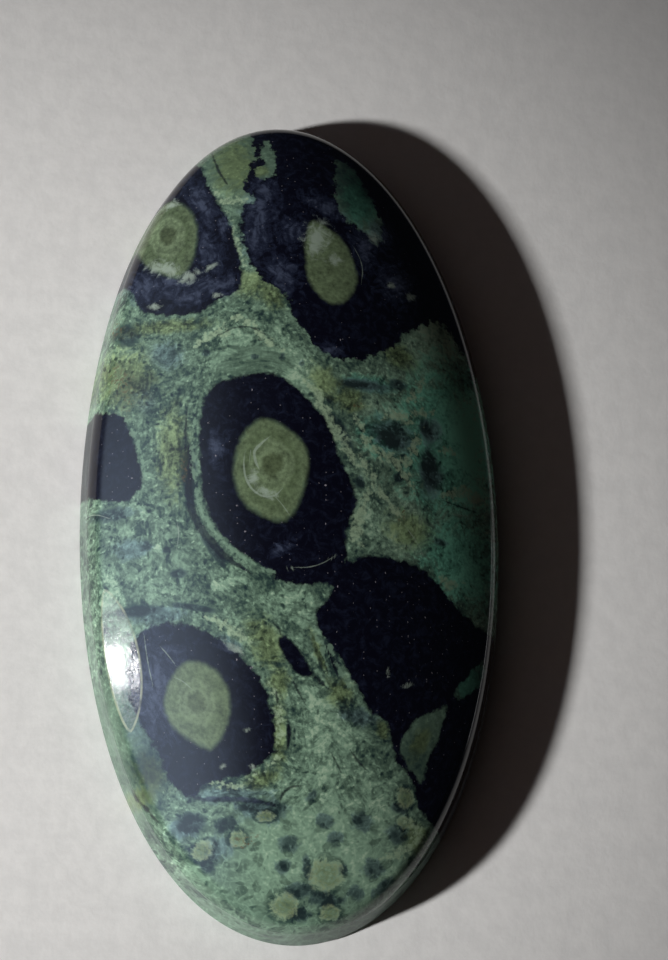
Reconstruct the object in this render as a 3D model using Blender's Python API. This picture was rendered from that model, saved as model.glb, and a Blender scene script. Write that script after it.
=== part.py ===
"""A kambaba jasper cabochon: one solid, polished oval stone with a flat back and a low dome.

Metres, +Z up. The stone lies on its flat back, long axis along Y.
The origin is the middle of the back.
"""

import math

import bmesh
import bpy
from mathutils import Vector

MM = 0.001

# Driving dimensions
LENGTH = 45.0 * MM
WIDTH = 22.0 * MM
THICKNESS = 5.0 * MM
GIRDLE_HEIGHT = 1.5 * MM
GIRDLE_LEAN = 0.25 * MM
BACK_BEVEL_HEIGHT = 0.2 * MM
BACK_BEVEL_INSET = 0.15 * MM

# The oval was ground by hand, so it isn't a true ellipse.
# Each entry is the number of waves round the outline and their cosine and sine share of the radius.
HAND_CUT = ((3, 0.0058, -0.0074), (4, -0.0051, 0.0018))

# The dome is a low bow on a round shoulder. The shoulder's width is a share of the half width.
CROWN_SHARE = 0.80
SHOULDER_WIDTH = 0.07
SHOULDER_START = 0.03
LENGTHWISE_EASE = 2.0

# Grinding left a small flat spot on the left shoulder. It faces this way, this far from the middle of the back.
FLAT_SPOT_TURN = math.radians(190.3)
FLAT_SPOT_SLOPE = math.radians(28.4)
FLAT_SPOT_REACH = 7.293 * MM

# Fineness of the faceted solid
SEGMENTS = 112
DOME_RINGS = 18
RING_CROWDING = 1.7

STONE_COLOUR = (0.055, 0.105, 0.070, 1.0)
STONE_ROUGHNESS = 0.12
SHARP_ANGLE = math.radians(25)


def clear_scene():
    for old in list(bpy.data.objects):
        bpy.data.objects.remove(old, do_unlink=True)


def new_collection(name):
    collection = bpy.data.collections.new(name)
    bpy.context.scene.collection.children.link(collection)
    return collection


def stone_material():
    material = bpy.data.materials.new("polished kambaba jasper")
    material.use_nodes = True
    shader = material.node_tree.nodes["Principled BSDF"]
    shader.inputs["Base Color"].default_value = STONE_COLOUR
    shader.inputs["Roughness"].default_value = STONE_ROUGHNESS
    shader.inputs["Metallic"].default_value = 0.0
    return material


def fit_to_size(values, size):
    """Centres the values on zero and scales them to span the size."""
    low, high = min(values), max(values)
    return [(value - (low + high) / 2) * size / (high - low) for value in values]


def outline():
    """The widest outline of the stone, as lists of x and y, one pair for each segment."""
    xs, ys = [], []
    for step in range(SEGMENTS):
        angle = math.tau * step / SEGMENTS
        radius = 1.0
        for waves, cosine, sine in HAND_CUT:
            radius += cosine * math.cos(waves * angle) + sine * math.sin(waves * angle)
        xs.append(radius * math.cos(angle))
        ys.append(radius * math.sin(angle))
    return fit_to_size(xs, WIDTH), fit_to_size(ys, LENGTH)


def dome_rise(inset):
    """Height on the dome as a share of its full rise, for an inset from 0 at its edge to 1 at its crown."""

    def bow(reach):
        return math.sqrt(2 * reach - reach * reach)

    reach = SHOULDER_START + (1 - SHOULDER_START) * min(inset / SHOULDER_WIDTH, 1)
    shoulder = (bow(reach) - bow(SHOULDER_START)) / (1 - bow(SHOULDER_START))
    crown = 1 - (1 - inset) ** 2
    return CROWN_SHARE * crown + (1 - CROWN_SHARE) * shoulder


def ring_sizes(inset):
    """Width and length shares of the outline for an even inset at the rim that draws in to the crown."""
    across = 1 - inset
    even_inset = inset * WIDTH / LENGTH
    extra = (1 - WIDTH / LENGTH) * inset**LENGTHWISE_EASE
    return across, 1 - even_inset - extra


def sections():
    """Width share, length share and height of each section of the stone, from its back to its crown."""

    def even(inset):
        return ring_sizes(inset / (WIDTH / 2))

    yield *even(BACK_BEVEL_INSET), 0.0
    yield *even(0.0), BACK_BEVEL_HEIGHT
    edge = GIRDLE_LEAN / (WIDTH / 2)
    for ring in range(DOME_RINGS):
        inset = (ring / DOME_RINGS) ** RING_CROWDING
        height = GIRDLE_HEIGHT + (THICKNESS - GIRDLE_HEIGHT) * dome_rise(inset)
        yield *ring_sizes(edge + (1 - edge) * inset), height


def add_ring(mesh, xs, ys, across, along, height):
    """One closed loop of edges, the outline scaled to a section's size."""
    corners = [mesh.verts.new((x * across, y * along, height)) for x, y in zip(xs, ys)]
    return [mesh.edges.new((corners[i - 1], corners[i])) for i in range(len(corners))]


def grind_flat_spot(mesh):
    """Cuts the shoulder off at the flat spot's plane and closes the cut."""
    out = math.sin(FLAT_SPOT_SLOPE)
    facing = Vector((out * math.cos(FLAT_SPOT_TURN), out * math.sin(FLAT_SPOT_TURN), math.cos(FLAT_SPOT_SLOPE)))
    everything = mesh.verts[:] + mesh.edges[:] + mesh.faces[:]
    cut = bmesh.ops.bisect_plane(
        mesh, geom=everything, plane_co=facing * FLAT_SPOT_REACH, plane_no=facing, clear_outer=True
    )["geom_cut"]
    bmesh.ops.contextual_create(mesh, geom=[piece for piece in cut if isinstance(piece, bmesh.types.BMEdge)])


def build_stone(collection):
    """The whole stone, lofted through its sections and closed by its flat back and its crown."""
    xs, ys = outline()
    mesh = bmesh.new()
    rings = [add_ring(mesh, xs, ys, *section) for section in sections()]
    for lower, upper in zip(rings, rings[1:]):
        bmesh.ops.bridge_loops(mesh, edges=lower + upper)
    bmesh.ops.contextual_create(mesh, geom=rings[0])
    crown = bmesh.ops.contextual_create(mesh, geom=rings[-1])["faces"]
    raised = bmesh.ops.poke(mesh, faces=crown)["verts"]
    for corner in raised:
        corner.co = (0.0, 0.0, THICKNESS)
    grind_flat_spot(mesh)
    bmesh.ops.recalc_face_normals(mesh, faces=mesh.faces)
    data = bpy.data.meshes.new("cabochon")
    mesh.to_mesh(data)
    mesh.free()
    data.shade_smooth()
    data.set_sharp_from_angle(angle=SHARP_ANGLE)
    data.materials.append(stone_material())
    stone = bpy.data.objects.new("cabochon", data)
    collection.objects.link(stone)
    return stone


clear_scene()
build_stone(new_collection("kambaba_jasper_cabochon"))
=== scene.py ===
"""The looks of the kambaba jasper cabochon: polished stone with dark orbs and green eyes, on a pale floor.

The stone's shape repeats the solid's formula on a finer mesh. Its markings are colour alone.
Each marking is an outline or a line in the stone. Its distance from every point of the mesh is kept there
as a named attribute, and the materials give it a ragged or a smooth edge, grain, fibres and specks.
"""

import math

import bmesh
import bpy
import numpy as np
from mathutils import Matrix, Vector


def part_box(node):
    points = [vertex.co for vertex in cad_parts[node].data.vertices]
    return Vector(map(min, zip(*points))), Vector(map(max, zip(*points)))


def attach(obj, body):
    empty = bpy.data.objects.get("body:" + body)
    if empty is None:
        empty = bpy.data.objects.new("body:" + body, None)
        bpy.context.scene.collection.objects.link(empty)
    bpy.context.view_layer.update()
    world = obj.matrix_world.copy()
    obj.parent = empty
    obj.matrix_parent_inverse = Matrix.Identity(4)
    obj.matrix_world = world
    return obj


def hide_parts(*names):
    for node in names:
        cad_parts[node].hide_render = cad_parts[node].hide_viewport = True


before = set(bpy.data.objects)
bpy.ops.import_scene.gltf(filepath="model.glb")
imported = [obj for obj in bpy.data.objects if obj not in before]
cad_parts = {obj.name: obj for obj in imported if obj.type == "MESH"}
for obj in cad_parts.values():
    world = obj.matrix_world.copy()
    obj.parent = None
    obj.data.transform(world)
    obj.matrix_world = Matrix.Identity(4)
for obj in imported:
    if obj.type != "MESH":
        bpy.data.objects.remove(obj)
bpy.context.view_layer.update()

MM = 0.001

# The stone's own shape, as in its solid
LOW, HIGH = (np.array(corner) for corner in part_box("cabochon"))
WIDTH, LENGTH, THICKNESS = (float(side) for side in HIGH - LOW)
GIRDLE_HEIGHT = 1.5 * MM
GIRDLE_LEAN = 0.25 * MM
BACK_BEVEL_HEIGHT = 0.2 * MM
BACK_BEVEL_INSET = 0.15 * MM
HAND_CUT = ((3, 0.0058, -0.0074), (4, -0.0051, 0.0018))
CROWN_SHARE = 0.80
SHOULDER_WIDTH = 0.07
SHOULDER_START = 0.03
LENGTHWISE_EASE = 2.0
# The small flat spot on the left shoulder: the way it faces, in degrees, and how far it is from the origin
FLAT_SPOT_TURN = 190.3
FLAT_SPOT_SLOPE = 28.4
FLAT_SPOT_REACH = 7.293 * MM

# Fineness of the mesh
SEGMENTS = 720
BACK_RINGS = 9
GIRDLE_RINGS = 4
DOME_RINGS = 124
RING_CROWDING = 1.45
SHARP_ANGLE = math.radians(12)

# How the markings drift and shrink below the dome, for each unit of depth
DRIFT = (0.22, -0.16)
ORB_TAPER = 0.12
# How late a line narrows towards its ends
LINE_TAPER = 3
# How wide the level middle of a patch of tone is, and how late its edge fades
TONE_PLATEAU = 1.6
TONE_EASE = 1.5
# Farther than any marking, in millimetres, and how near its plane the flat spot's corners lie, in metres
FAR = 1e6
ON_PLANE = 1e-8

# Dark orbs and patches, each with how ragged its edge is.
# All markings are in millimetres from the stone's middle, with +Y to its upper end.
DARK_SHAPES = (
    (0.30, ((-5.9, 21.0), (-5.3, 19.8), (-4.9, 19.2), (-4.6, 18.0), (-4.2, 17.0), (-3.8, 16.0),
        (-3.45, 15.0), (-3.25, 14.0), (-3.05, 13.0), (-3.0, 12.0), (-3.2, 11.2), (-4.0, 10.8),
        (-4.8, 10.2), (-5.8, 9.9), (-7.0, 10.0), (-8.0, 10.3), (-8.4, 11.0), (-8.9, 12.1), (-10.5, 13.5),
        (-9.5, 18.0))),
    # This orb's tail down the right rim, below about y 10, is painted shade on the shoulder
    (0.75, ((-2.4, 12.5), (-2.0, 11.9), (-1.4, 11.4), (-0.7, 10.9), (-0.5, 10.2), (-0.2, 9.3),
        (0.5, 8.3), (1.3, 7.6), (2.3, 7.3), (3.5, 7.6), (4.4, 8.1), (5.3, 8.9), (6.1, 9.7), (7.0, 10.2),
        (7.7, 10.5), (8.4, 9.8), (9.1, 8.8), (9.9, 7.8), (12.5, 10.0), (11.0, 15.0), (7.0, 21.0),
        (2.0, 24.0), (-2.2, 23.5), (-2.2, 21.3), (-2.1, 20.0), (-2.35, 19.0), (-2.6, 18.3),
        (-2.75, 17.7), (-2.4, 17.1), (-2.3, 16.7), (-2.8, 16.4), (-3.0, 15.3), (-2.95, 14.3),
        (-2.7, 13.4))),
    (0.25, ((-4.7, 5.5), (-4.0, 6.0), (-3.0, 6.2), (-2.2, 6.4), (-1.5, 6.3), (-0.7, 5.9), (0.0, 5.2),
        (0.7, 4.5), (1.3, 3.6), (1.6, 2.8), (1.85, 1.8), (2.3, 0.9), (2.6, 0.1), (2.7, -0.7),
        (2.2, -2.0), (2.15, -2.9), (2.1, -3.8), (1.5, -4.4), (0.4, -4.8), (-0.8, -4.9), (-1.7, -4.6),
        (-2.5, -4.05), (-3.5, -3.3), (-4.3, -2.4), (-4.9, -1.2), (-5.15, 0.0), (-5.25, 1.5),
        (-5.25, 3.0), (-5.1, 4.6))),
    (0.30, ((-12.0, 5.6), (-10.4, 4.9), (-9.1, 4.4), (-8.6, 3.2), (-8.3, 2.0), (-8.1, 1.0), (-8.1, 0.4),
        (-8.75, -0.3), (-9.4, -0.3), (-10.2, -0.15), (-10.9, 0.3), (-12.0, 0.6))),
    (0.30, ((1.7, -3.9), (2.4, -3.75), (3.0, -3.5), (4.0, -3.4), (5.0, -3.5), (6.0, -3.75), (6.7, -4.2),
        (7.3, -4.8), (7.9, -5.4), (8.6, -6.0), (9.6, -6.6), (12.0, -7.5), (12.0, -13.0), (9.0, -17.6),
        (7.2, -17.1), (6.3, -16.6), (5.8, -16.0), (5.6, -15.3), (5.35, -14.7), (4.7, -14.0),
        (4.4, -13.3), (4.3, -12.6), (4.1, -12.0), (3.4, -11.6), (3.0, -11.2), (2.7, -10.5), (2.1, -9.6),
        (1.6, -8.8), (1.0, -8.0), (0.5, -7.2), (0.6, -6.4), (1.1, -5.9), (1.4, -5.4), (0.9, -5.1),
        (-0.3, -5.2), (-1.3, -5.05), (-1.75, -4.9), (-1.2, -4.55), (0.0, -4.5), (1.0, -4.2))),
    (0.40, ((-8.6, -8.2), (-8.0, -7.3), (-7.2, -7.05), (-6.3, -7.1), (-5.5, -7.3), (-4.8, -7.7),
        (-4.1, -8.2), (-3.4, -8.8), (-2.8, -9.5), (-2.25, -10.1), (-1.95, -10.9), (-1.65, -11.9),
        (-1.55, -12.9), (-1.65, -13.8), (-2.3, -14.4), (-2.9, -14.9), (-4.0, -15.05), (-4.9, -15.3),
        (-5.5, -15.9), (-6.2, -15.5), (-6.8, -14.8), (-7.1, -13.9), (-7.7, -12.8), (-8.3, -11.6),
        (-8.7, -10.2))),
    (0.05, ((-1.4, -8.0), (-1.05, -7.85), (-0.6, -8.3), (-0.2, -8.8), (0.1, -9.3), (0.35, -9.75),
        (0.95, -10.4), (0.2, -9.95), (-0.25, -9.95), (-0.7, -9.6), (-1.0, -9.1), (-1.3, -8.5))),
)

# Green inclusions in the dark: outline points
INCLUSIONS = (
    ((-1.5, 20.9), (-1.1, 20.3), (-1.0, 19.3), (-1.1, 18.6), (-1.5, 18.3), (-2.15, 18.45), (-2.1, 19.0),
        (-1.65, 19.2), (-1.8, 20.0)),
    ((2.35, 19.7), (2.25, 18.5), (2.2, 17.3), (2.4, 16.4), (2.9, 15.8), (3.5, 15.5), (3.9, 15.1),
        (4.3, 14.6), (4.7, 15.2), (4.6, 16.5), (4.2, 17.5), (3.8, 18.5), (3.3, 19.4), (2.9, 19.9)),
    ((7.4, -10.8), (6.6, -11.15), (6.0, -11.5), (5.4, -12.1), (5.0, -12.7), (4.8, -13.3), (5.1, -13.9),
        (5.5, -14.4), (5.85, -14.8), (6.1, -14.5), (6.25, -13.8), (6.6, -13.0), (6.95, -12.2),
        (7.2, -11.5)),
    ((7.75, -10.05), (8.3, -9.4), (8.9, -8.7), (9.4, -8.2), (9.6, -8.7), (9.2, -9.4), (8.6, -10.0),
        (8.0, -10.25)),
)

# Green eyes: the middle of each one's rings, its lightness, how strong its rings are, and its outline
EYES = (
    ((-6.75, 14.9), 0.85, 1.0, ((-6.6, 17.15), (-5.8, 16.7), (-5.35, 15.9), (-5.2, 15.0), (-5.3, 13.9),
        (-5.6, 12.9), (-6.25, 12.1), (-7.1, 12.5), (-7.9, 13.2), (-8.3, 14.2), (-8.2, 15.2),
        (-7.8, 16.2), (-7.3, 16.9))),
    ((1.85, 12.7), 0.95, 0.15, ((0.8, 15.6), (1.7, 15.2), (2.5, 14.4), (2.95, 13.3), (3.1, 12.2),
        (2.75, 11.2), (2.0, 10.6), (1.2, 10.85), (0.5, 11.9), (0.4, 13.0), (0.4, 14.2))),
    ((-1.6, 1.3), 1.0, 0.85, ((-2.0, 3.8), (-1.3, 3.6), (-0.6, 3.1), (0.05, 2.4), (0.3, 1.5),
        (0.15, 0.4), (-0.2, -0.7), (-0.6, -1.5), (-1.2, -1.9), (-2.2, -1.6), (-3.0, -1.0), (-3.45, -0.1),
        (-3.6, 0.9), (-3.45, 2.0), (-3.1, 2.9), (-2.6, 3.5))),
    ((-5.45, -11.2), 1.05, 0.6, ((-5.9, -9.1), (-6.45, -9.6), (-6.85, -10.4), (-6.95, -11.2),
        (-6.8, -11.9), (-6.4, -12.5), (-5.8, -13.0), (-5.2, -13.4), (-4.75, -13.6), (-4.4, -13.4),
        (-4.05, -12.8), (-3.8, -12.0), (-3.75, -11.2), (-3.9, -10.5), (-4.3, -9.8), (-4.9, -9.3),
        (-5.4, -9.1))),
)

# Soft patches of a tint: middle, half sizes across and along, and the tilt in degrees of those that lean
OLIVE_PATCHES = (
    (-3.2, 19.2, 1.4, 2.6), (-2.6, 11.6, 1.6, 1.0), (-6.6, 2.2, 1.0, 3.2), (-9.0, 6.6, 1.9, 2.3, 20),
    (2.4, 5.1, 1.2, 0.9), (1.2, 6.0, 1.0, 1.4, 40), (5.3, 8.0, 1.2, 0.9, -30),
    (-2.0, -8.3, 1.0, 1.9, 25), (-1.35, -10.2, 0.7, 1.0), (-1.35, -13.0, 0.5, 2.2),
    (-2.2, -15.1, 1.1, 0.6, 20), (-7.5, -14.6, 0.8, 1.3, 30), (-7.9, -15.6, 0.9, 0.6, 20),
    (1.7, -10.7, 0.9, 0.9, 20), (0.6, -8.6, 0.3, 1.5, 20), (5.9, -12.8, 0.5, 1.3, -30),
    (5.7, -17.6, 0.8, 1.0, -20), (5.5, -1.8, 1.6, 1.3), (-5.9, 1.4, 0.35, 1.6),
    (-1.5, 11.0, 0.9, 1.2, 30), (3.9, -12.4, 0.5, 0.6), (-7.0, 9.3, 3.0, 0.5), (-1.9, 18.8, 0.7, 0.6),
    (-6.8, 14.2, 1.5, 1.2),
)
RUST_PATCHES = (
    (-9.2, 6.4, 0.9, 1.6, 20), (-8.8, 5.0, 0.5, 0.8), (-6.0, 1.0, 0.4, 1.2), (2.9, 4.8, 0.5, 0.4),
    (-2.9, -18.1, 0.9, 0.5, 20), (-9.3, 9.6, 0.5, 0.9), (5.0, -1.0, 0.6, 0.8),
)
# Slate-blue clouds of the stone itself; the patches at (-7.3, -10.3) by the glint and at (-1.2, -3.3) paint
# a pale haze of mirrored light
SLATE_AND_HAZE_PATCHES = (
    (-0.9, 12.2, 1.1, 1.4, 30), (-4.2, 11.6, 1.8, 0.9), (3.6, 14.2, 0.9, 1.7), (-8.0, 11.9, 1.2, 1.3),
    (-2.0, 16.0, 1.2, 2.4), (-6.9, 7.6, 1.1, 1.0, -30), (-8.1, 5.5, 0.7, 1.3, 20),
    (-6.5, 12.0, 1.9, 1.3, -20), (-4.7, 13.6, 0.9, 1.9, 10), (-5.0, 16.8, 0.8, 2.4, 15),
    (-3.9, 15.2, 0.5, 0.9), (-1.7, 17.3, 1.0, 1.3), (-2.1, 14.5, 1.0, 2.0, -10), (-0.3, 14.9, 0.9, 1.1),
    (5.3, 12.3, 1.4, 1.5), (4.6, 15.3, 1.0, 1.1, 20), (1.5, 16.6, 1.6, 0.7, -30),
    (-7.3, -10.3, 1.7, 3.6), (-3.7, -15.8, 2.6, 0.5), (-7.2, -6.6, 1.7, 0.6), (-5.7, 11.0, 1.3, 0.6),
    (-1.2, -3.3, 0.9, 0.4, 20), (-5.9, -17.3, 0.9, 0.7), (-4.2, -18.4, 0.9, 0.7),
    (-2.6, -16.5, 1.0, 0.7), (2.7, -11.9, 1.3, 0.5, -10), (4.7, 3.3, 1.6, 1.1, -20),
    (6.9, 3.9, 0.8, 1.0), (6.8, 1.3, 0.8, 1.4), (3.4, 6.0, 1.8, 0.5), (1.6, 7.9, 0.8, 0.4),
    (-3.8, -8.4, 1.0, 0.5, -38), (-8.6, -3.0, 1.1, 0.7), (-4.4, 2.2, 0.5, 1.2),
)
TEAL_PATCHES = (
    (8.0, 3.5, 3.6, 6.0), (8.4, -3.0, 3.0, 3.2), (4.2, 3.2, 1.6, 1.4), (3.6, 6.1, 1.8, 0.6),
    (3.5, 17.3, 1.2, 2.2), (8.7, -9.3, 1.2, 1.5),
)
SHADE_PATCHES = (
    (1.95, 3.3, 0.4, 1.4, 30), (-5.75, 0.8, 0.4, 1.8), (4.7, 3.1, 0.9, 0.5, -20), (3.0, 6.0, 1.6, 0.3),
    (5.1, 6.3, 0.6, 0.4), (6.7, 1.8, 0.6, 1.5), (2.9, 0.5, 0.3, 0.45), (7.2, -2.2, 0.5, 0.25),
    (6.6, 4.0, 0.4, 0.8, 20), (5.0, 1.0, 0.3, 0.3), (0.95, -17.1, 0.55, 0.5), (1.5, -17.9, 0.5, 0.45),
    (2.85, -17.0, 0.7, 0.6), (4.75, -17.45, 0.8, 0.6), (-1.6, -16.7, 0.9, 0.7, 30),
    (-2.6, -16.4, 0.9, 0.35), (-4.65, -19.1, 0.5, 0.5), (-3.9, -17.3, 0.7, 0.5, 30),
    (-0.2, -20.4, 0.9, 0.5), (1.0, -20.75, 1.2, 0.5, -5), (0.1, -19.3, 0.3, 0.8, 10),
    (1.95, -19.35, 0.35, 0.3), (3.45, -19.2, 0.7, 0.6), (-0.8, -18.2, 0.7, 0.5), (-1.1, -19.3, 0.5, 0.4),
    (-5.6, -17.2, 0.9, 0.7), (0.3, -15.9, 0.5, 0.25, 50), (4.8, -16.2, 0.6, 0.35),
    (4.0, -20.0, 0.9, 0.3, 40), (-6.35, -4.5, 0.55, 0.28), (-9.5, -1.0, 1.4, 0.45),
    (-7.9, -2.9, 0.4, 0.35), (-6.9, -3.2, 0.3, 0.2), (-8.3, -6.3, 1.4, 0.35),
    (-4.6, -3.4, 0.25, 1.2, 35), (0.5, -8.5, 0.14, 0.4, 10), (0.7, -9.2, 0.13, 0.5, 15),
    (1.35, -8.8, 0.28, 1.5, 18), (2.3, -11.05, 0.18, 0.18), (-8.9, 9.1, 0.7, 0.9, 30),
    (-4.9, 7.6, 0.25, 0.25), (1.4, 5.0, 0.3, 0.3), (-1.0, 7.3, 0.25, 0.3), (0.0, 7.0, 0.2, 0.25),
    (-2.4, 7.3, 0.3, 0.2), (-5.7, -6.3, 1.6, 0.2, -12), (-0.9, -12.9, 0.13, 0.8),
    (-5.3, -17.2, 0.5, 0.5), (2.6, -20.4, 0.5, 0.5), (-0.2, -21.5, 0.6, 0.4), (4.5, 18.3, 0.9, 1.2),
)
PALE_PATCHES = (
    (-3.4, 8.5, 1.9, 0.8), (-6.9, 3.0, 0.6, 2.0), (3.0, 3.7, 0.3, 0.5), (3.6, 2.8, 0.35, 0.6, 30),
    (4.4, 1.8, 0.6, 0.35, -35), (5.4, 1.3, 0.6, 0.35, -20), (5.8, 0.5, 0.3, 0.7), (5.5, 3.0, 0.5, 0.4),
    (6.3, 2.9, 0.4, 0.6), (6.2, 6.4, 0.25, 0.5), (6.3, 5.6, 0.5, 0.25, 30), (5.1, 4.6, 0.8, 0.4, -10),
    (3.0, 1.2, 0.5, 0.9, 20), (3.1, -1.4, 0.6, 1.5, 10), (2.6, -2.8, 0.7, 0.4), (7.9, 2.9, 0.4, 0.2),
    (8.5, 0.5, 0.9, 0.35, 15), (7.6, -4.3, 0.8, 1.0, 20), (0.4, -11.0, 0.4, 0.7, 20),
    (-0.7, -14.4, 0.4, 0.4), (-0.8, -5.9, 1.4, 0.5), (-0.3, -7.0, 0.6, 0.6), (-4.0, -5.2, 1.1, 0.4),
    (-6.6, -5.3, 0.8, 0.4), (-7.3, -3.1, 0.35, 0.3), (-8.4, -1.0, 0.9, 0.6), (-1.9, -15.6, 0.4, 0.3),
    (-3.0, -8.1, 0.35, 0.3), (-4.9, -7.0, 0.35, 0.25), (-3.7, -7.7, 0.3, 0.3), (-1.15, -12.4, 0.18, 1.3),
    (-1.95, 18.75, 0.35, 0.25), (-3.6, 17.2, 0.5, 0.5), (-2.7, 16.8, 0.4, 0.3), (-9.6, -5.6, 0.7, 1.6),
    (-4.2, 7.3, 1.2, 0.4, 20), (-8.9, 8.0, 0.9, 0.5), (3.9, 15.3, 0.5, 0.4, -30),
)
# Pale round spots, each in a dark ring
SPOTS = (
    (-3.3, -17.95, 0.40, 0.40), (-5.0, -18.45, 0.50, 0.42, 30), (1.05, -19.65, 0.85, 0.75),
    (-0.95, -21.1, 0.66, 0.56), (1.3, -21.35, 0.50, 0.34), (5.1, -15.65, 0.45, 0.48),
    (5.1, -16.85, 0.46, 0.30), (-2.0, -16.9, 0.46, 0.24),
)
# Frost is a whitish mottling in an eye or on a dark orb.
FROST_PATCHES = (
    (1.1, 14.6, 0.9, 1.3, -10), (0.8, 13.9, 0.5, 0.7), (1.9, 13.3, 0.6, 0.4),
    (-6.9, 12.85, 1.2, 0.6, -25), (-6.5, 16.9, 0.6, 0.35, 20), (-2.6, 0.5, 0.35, 0.6),
    (-2.0, -0.3, 0.8, 0.35, -20), (-5.7, 12.2, 0.7, 0.5, 20), (-4.6, 12.7, 0.5, 0.25, 30),
    (-7.4, 10.6, 0.5, 0.25), (-4.3, 10.95, 0.3, 0.2), (5.0, 12.2, 0.3, 0.25), (6.1, 11.7, 0.4, 0.3),
    (-3.6, -8.5, 0.9, 0.22, -38), (-2.95, -12.7, 0.25, 0.15), (-4.1, -14.45, 0.2, 0.2),
    (-2.65, -14.5, 0.2, 0.2), (4.2, -9.4, 0.14, 0.4), (5.25, -10.0, 0.4, 0.15, 20),
    (-0.6, -4.35, 0.55, 0.14), (1.3, -3.75, 0.4, 0.15, 35), (4.3, 15.0, 0.5, 0.4, -40),
)
# Broad changes of tone: a patch as above, and how much lighter it is in its middle. The lifts centred
# beyond x 8 are painted light on the right shoulder, where the lamp's light falls away
TONE_AND_PAINTED_LIGHT_PATCHES = (
    (-3.2, 19.5, 2.2, 3.6, 0.03), (4.6, 3.0, 2.8, 2.0, -0.12), (6.5, -18.5, 2.5, 2.0, -0.08),
    (-2.5, -16.4, 3.0, 1.0, -0.05), (-5.4, -15.0, 1.8, 0.8, -0.26), (2.3, -11.8, 1.3, 1.1, -0.22),
    (4.2, -20.0, 2.4, 1.6, 40, 0.14), (4.5, -16.5, 2.0, 2.0, 0.12), (3.2, 18.4, 2.0, 3.0, -0.26),
    (-8.4, -6.4, 2.4, 0.9, -0.14), (-5.8, 0.6, 0.8, 3.0, -0.18), (0.4, 6.0, 2.4, 2.0, 0.16),
    (0.6, -20.5, 2.4, 1.0, -0.08), (2.8, -12.0, 1.8, 1.2, 0.08), (-6.6, 11.0, 3.0, 1.0, -0.1),
    (1.3, -9.0, 0.8, 2.4, 18, -0.14), (-8.8, 6.3, 2.4, 2.6, -0.08), (-6.8, 3.0, 1.6, 4.0, -0.06),
    (-2.0, 8.3, 5.0, 2.0, 0.05), (0.9, -12.3, 1.8, 3.4, 14, 0.19), (0.6, -18.4, 6.4, 5.0, 0.27),
    # Painted light: (8.8, -1.0) here, and (9.4, 4.0), (8.3, 3.8), (9.6, -1.5), (9.2, 0.8) and (8.6, -4.2)
    # below, lighten the shaded right shoulder
    (4.6, -1.6, 3.2, 2.6, 0.04), (8.8, -1.0, 2.6, 8.0, 0.12), (5.4, -2.6, 1.8, 2.0, 0.10),
    (7.5, 7.4, 2.6, 4.6, 0.30), (5.6, 4.8, 3.0, 1.6, 0.12), (6.0, -1.5, 3.4, 3.0, 0.14),
    (-1.4, 11.8, 1.2, 1.6, 30, 0.12), (-2.6, 17.5, 1.2, 1.6, 0.08), (5.2, -13.6, 1.4, 1.6, -0.14),
    (9.4, 4.0, 1.6, 4.0, 0.60), (8.3, 3.8, 2.0, 2.6, 0.34), (7.4, 9.8, 2.2, 2.4, 0.22),
    (9.6, -1.5, 2.0, 6.0, 0.16), (0.0, 6.2, 1.8, 1.4, 0.14), (-7.6, -14.2, 1.8, 1.8, -0.22),
    (9.2, 0.8, 1.2, 1.0, 0.20), (-2.7, 12.2, 1.4, 1.6, 0.20), (-3.3, 15.0, 0.8, 2.0, -0.06),
    (2.7, -13.0, 1.2, 1.2, 0.14), (-9.8, 7.0, 1.6, 5.0, 0.12), (-5.0, -18.4, 1.6, 1.6, 0.10),
    (5.5, -17.6, 1.4, 1.6, 0.10), (8.6, -4.2, 1.8, 1.8, 0.18), (-3.4, -15.2, 2.6, 0.8, -0.12),
    (1.0, -14.0, 1.8, 2.0, 0.10), (-3.0, 4.6, 3.0, 2.0, -0.06), (-5.2, 5.0, 2.4, 1.6, -0.04),
    (-8.2, -6.6, 3.0, 2.4, 0.10), (-8.0, -3.0, 3.0, 4.0, 0.06), (-0.6, -6.6, 3.0, 1.6, 0.08),
    (3.4, -15.0, 2.0, 2.0, 0.10),
)
# Where the green is smooth
SMOOTH_PATCHES = (
    (-3.2, 19.5, 2.2, 4.2), (-1.6, 19.6, 1.4, 2.6), (3.2, 17.8, 2.4, 3.6), (6.0, -12.8, 2.0, 3.0),
    (9.0, -9.0, 1.8, 1.8), (0.5, -20.0, 8.0, 4.6), (-8.8, -13.5, 1.8, 5.0, 20), (-2.6, 7.2, 2.6, 1.2),
)
WEB_PATCHES = (
    (0.0, -18.6, 8.0, 5.5), (2.5, -15.0, 2.5, 2.5), (6.5, 2.5, 3.0, 3.0), (-7.5, -2.5, 2.5, 3.0),
)
FIBRE_PATCHES = (
    (-5.9, 2.5, 1.2, 4.5), (-2.0, 7.8, 5.0, 1.6), (0.5, -11.5, 2.6, 4.5, 15), (-3.0, -4.8, 3.0, 1.0, 25),
    (-5.0, 9.3, 4.5, 1.0), (-1.0, -15.8, 5.5, 1.2),
)

# Pale bands along an edge: half width and route
PALE_LINES = (
    (0.07, ((-5.4, 4.8), (-5.55, 3.0), (-5.55, 1.5), (-5.45, 0.0), (-5.3, -0.8), (-5.0, -1.6),
        (-4.5, -2.4), (-3.9, -3.1), (-3.1, -3.8), (-2.3, -4.3), (-1.6, -4.6))),
    (0.05, ((-8.85, 4.1), (-8.4, 3.0), (-8.1, 1.8), (-7.95, 0.8))),
    (0.05, ((0.4, -7.6), (0.9, -8.9), (1.2, -9.9))),
    (0.05, ((1.0, -8.0), (1.5, -9.0), (1.9, -10.0), (2.4, -10.6))),
)
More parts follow.
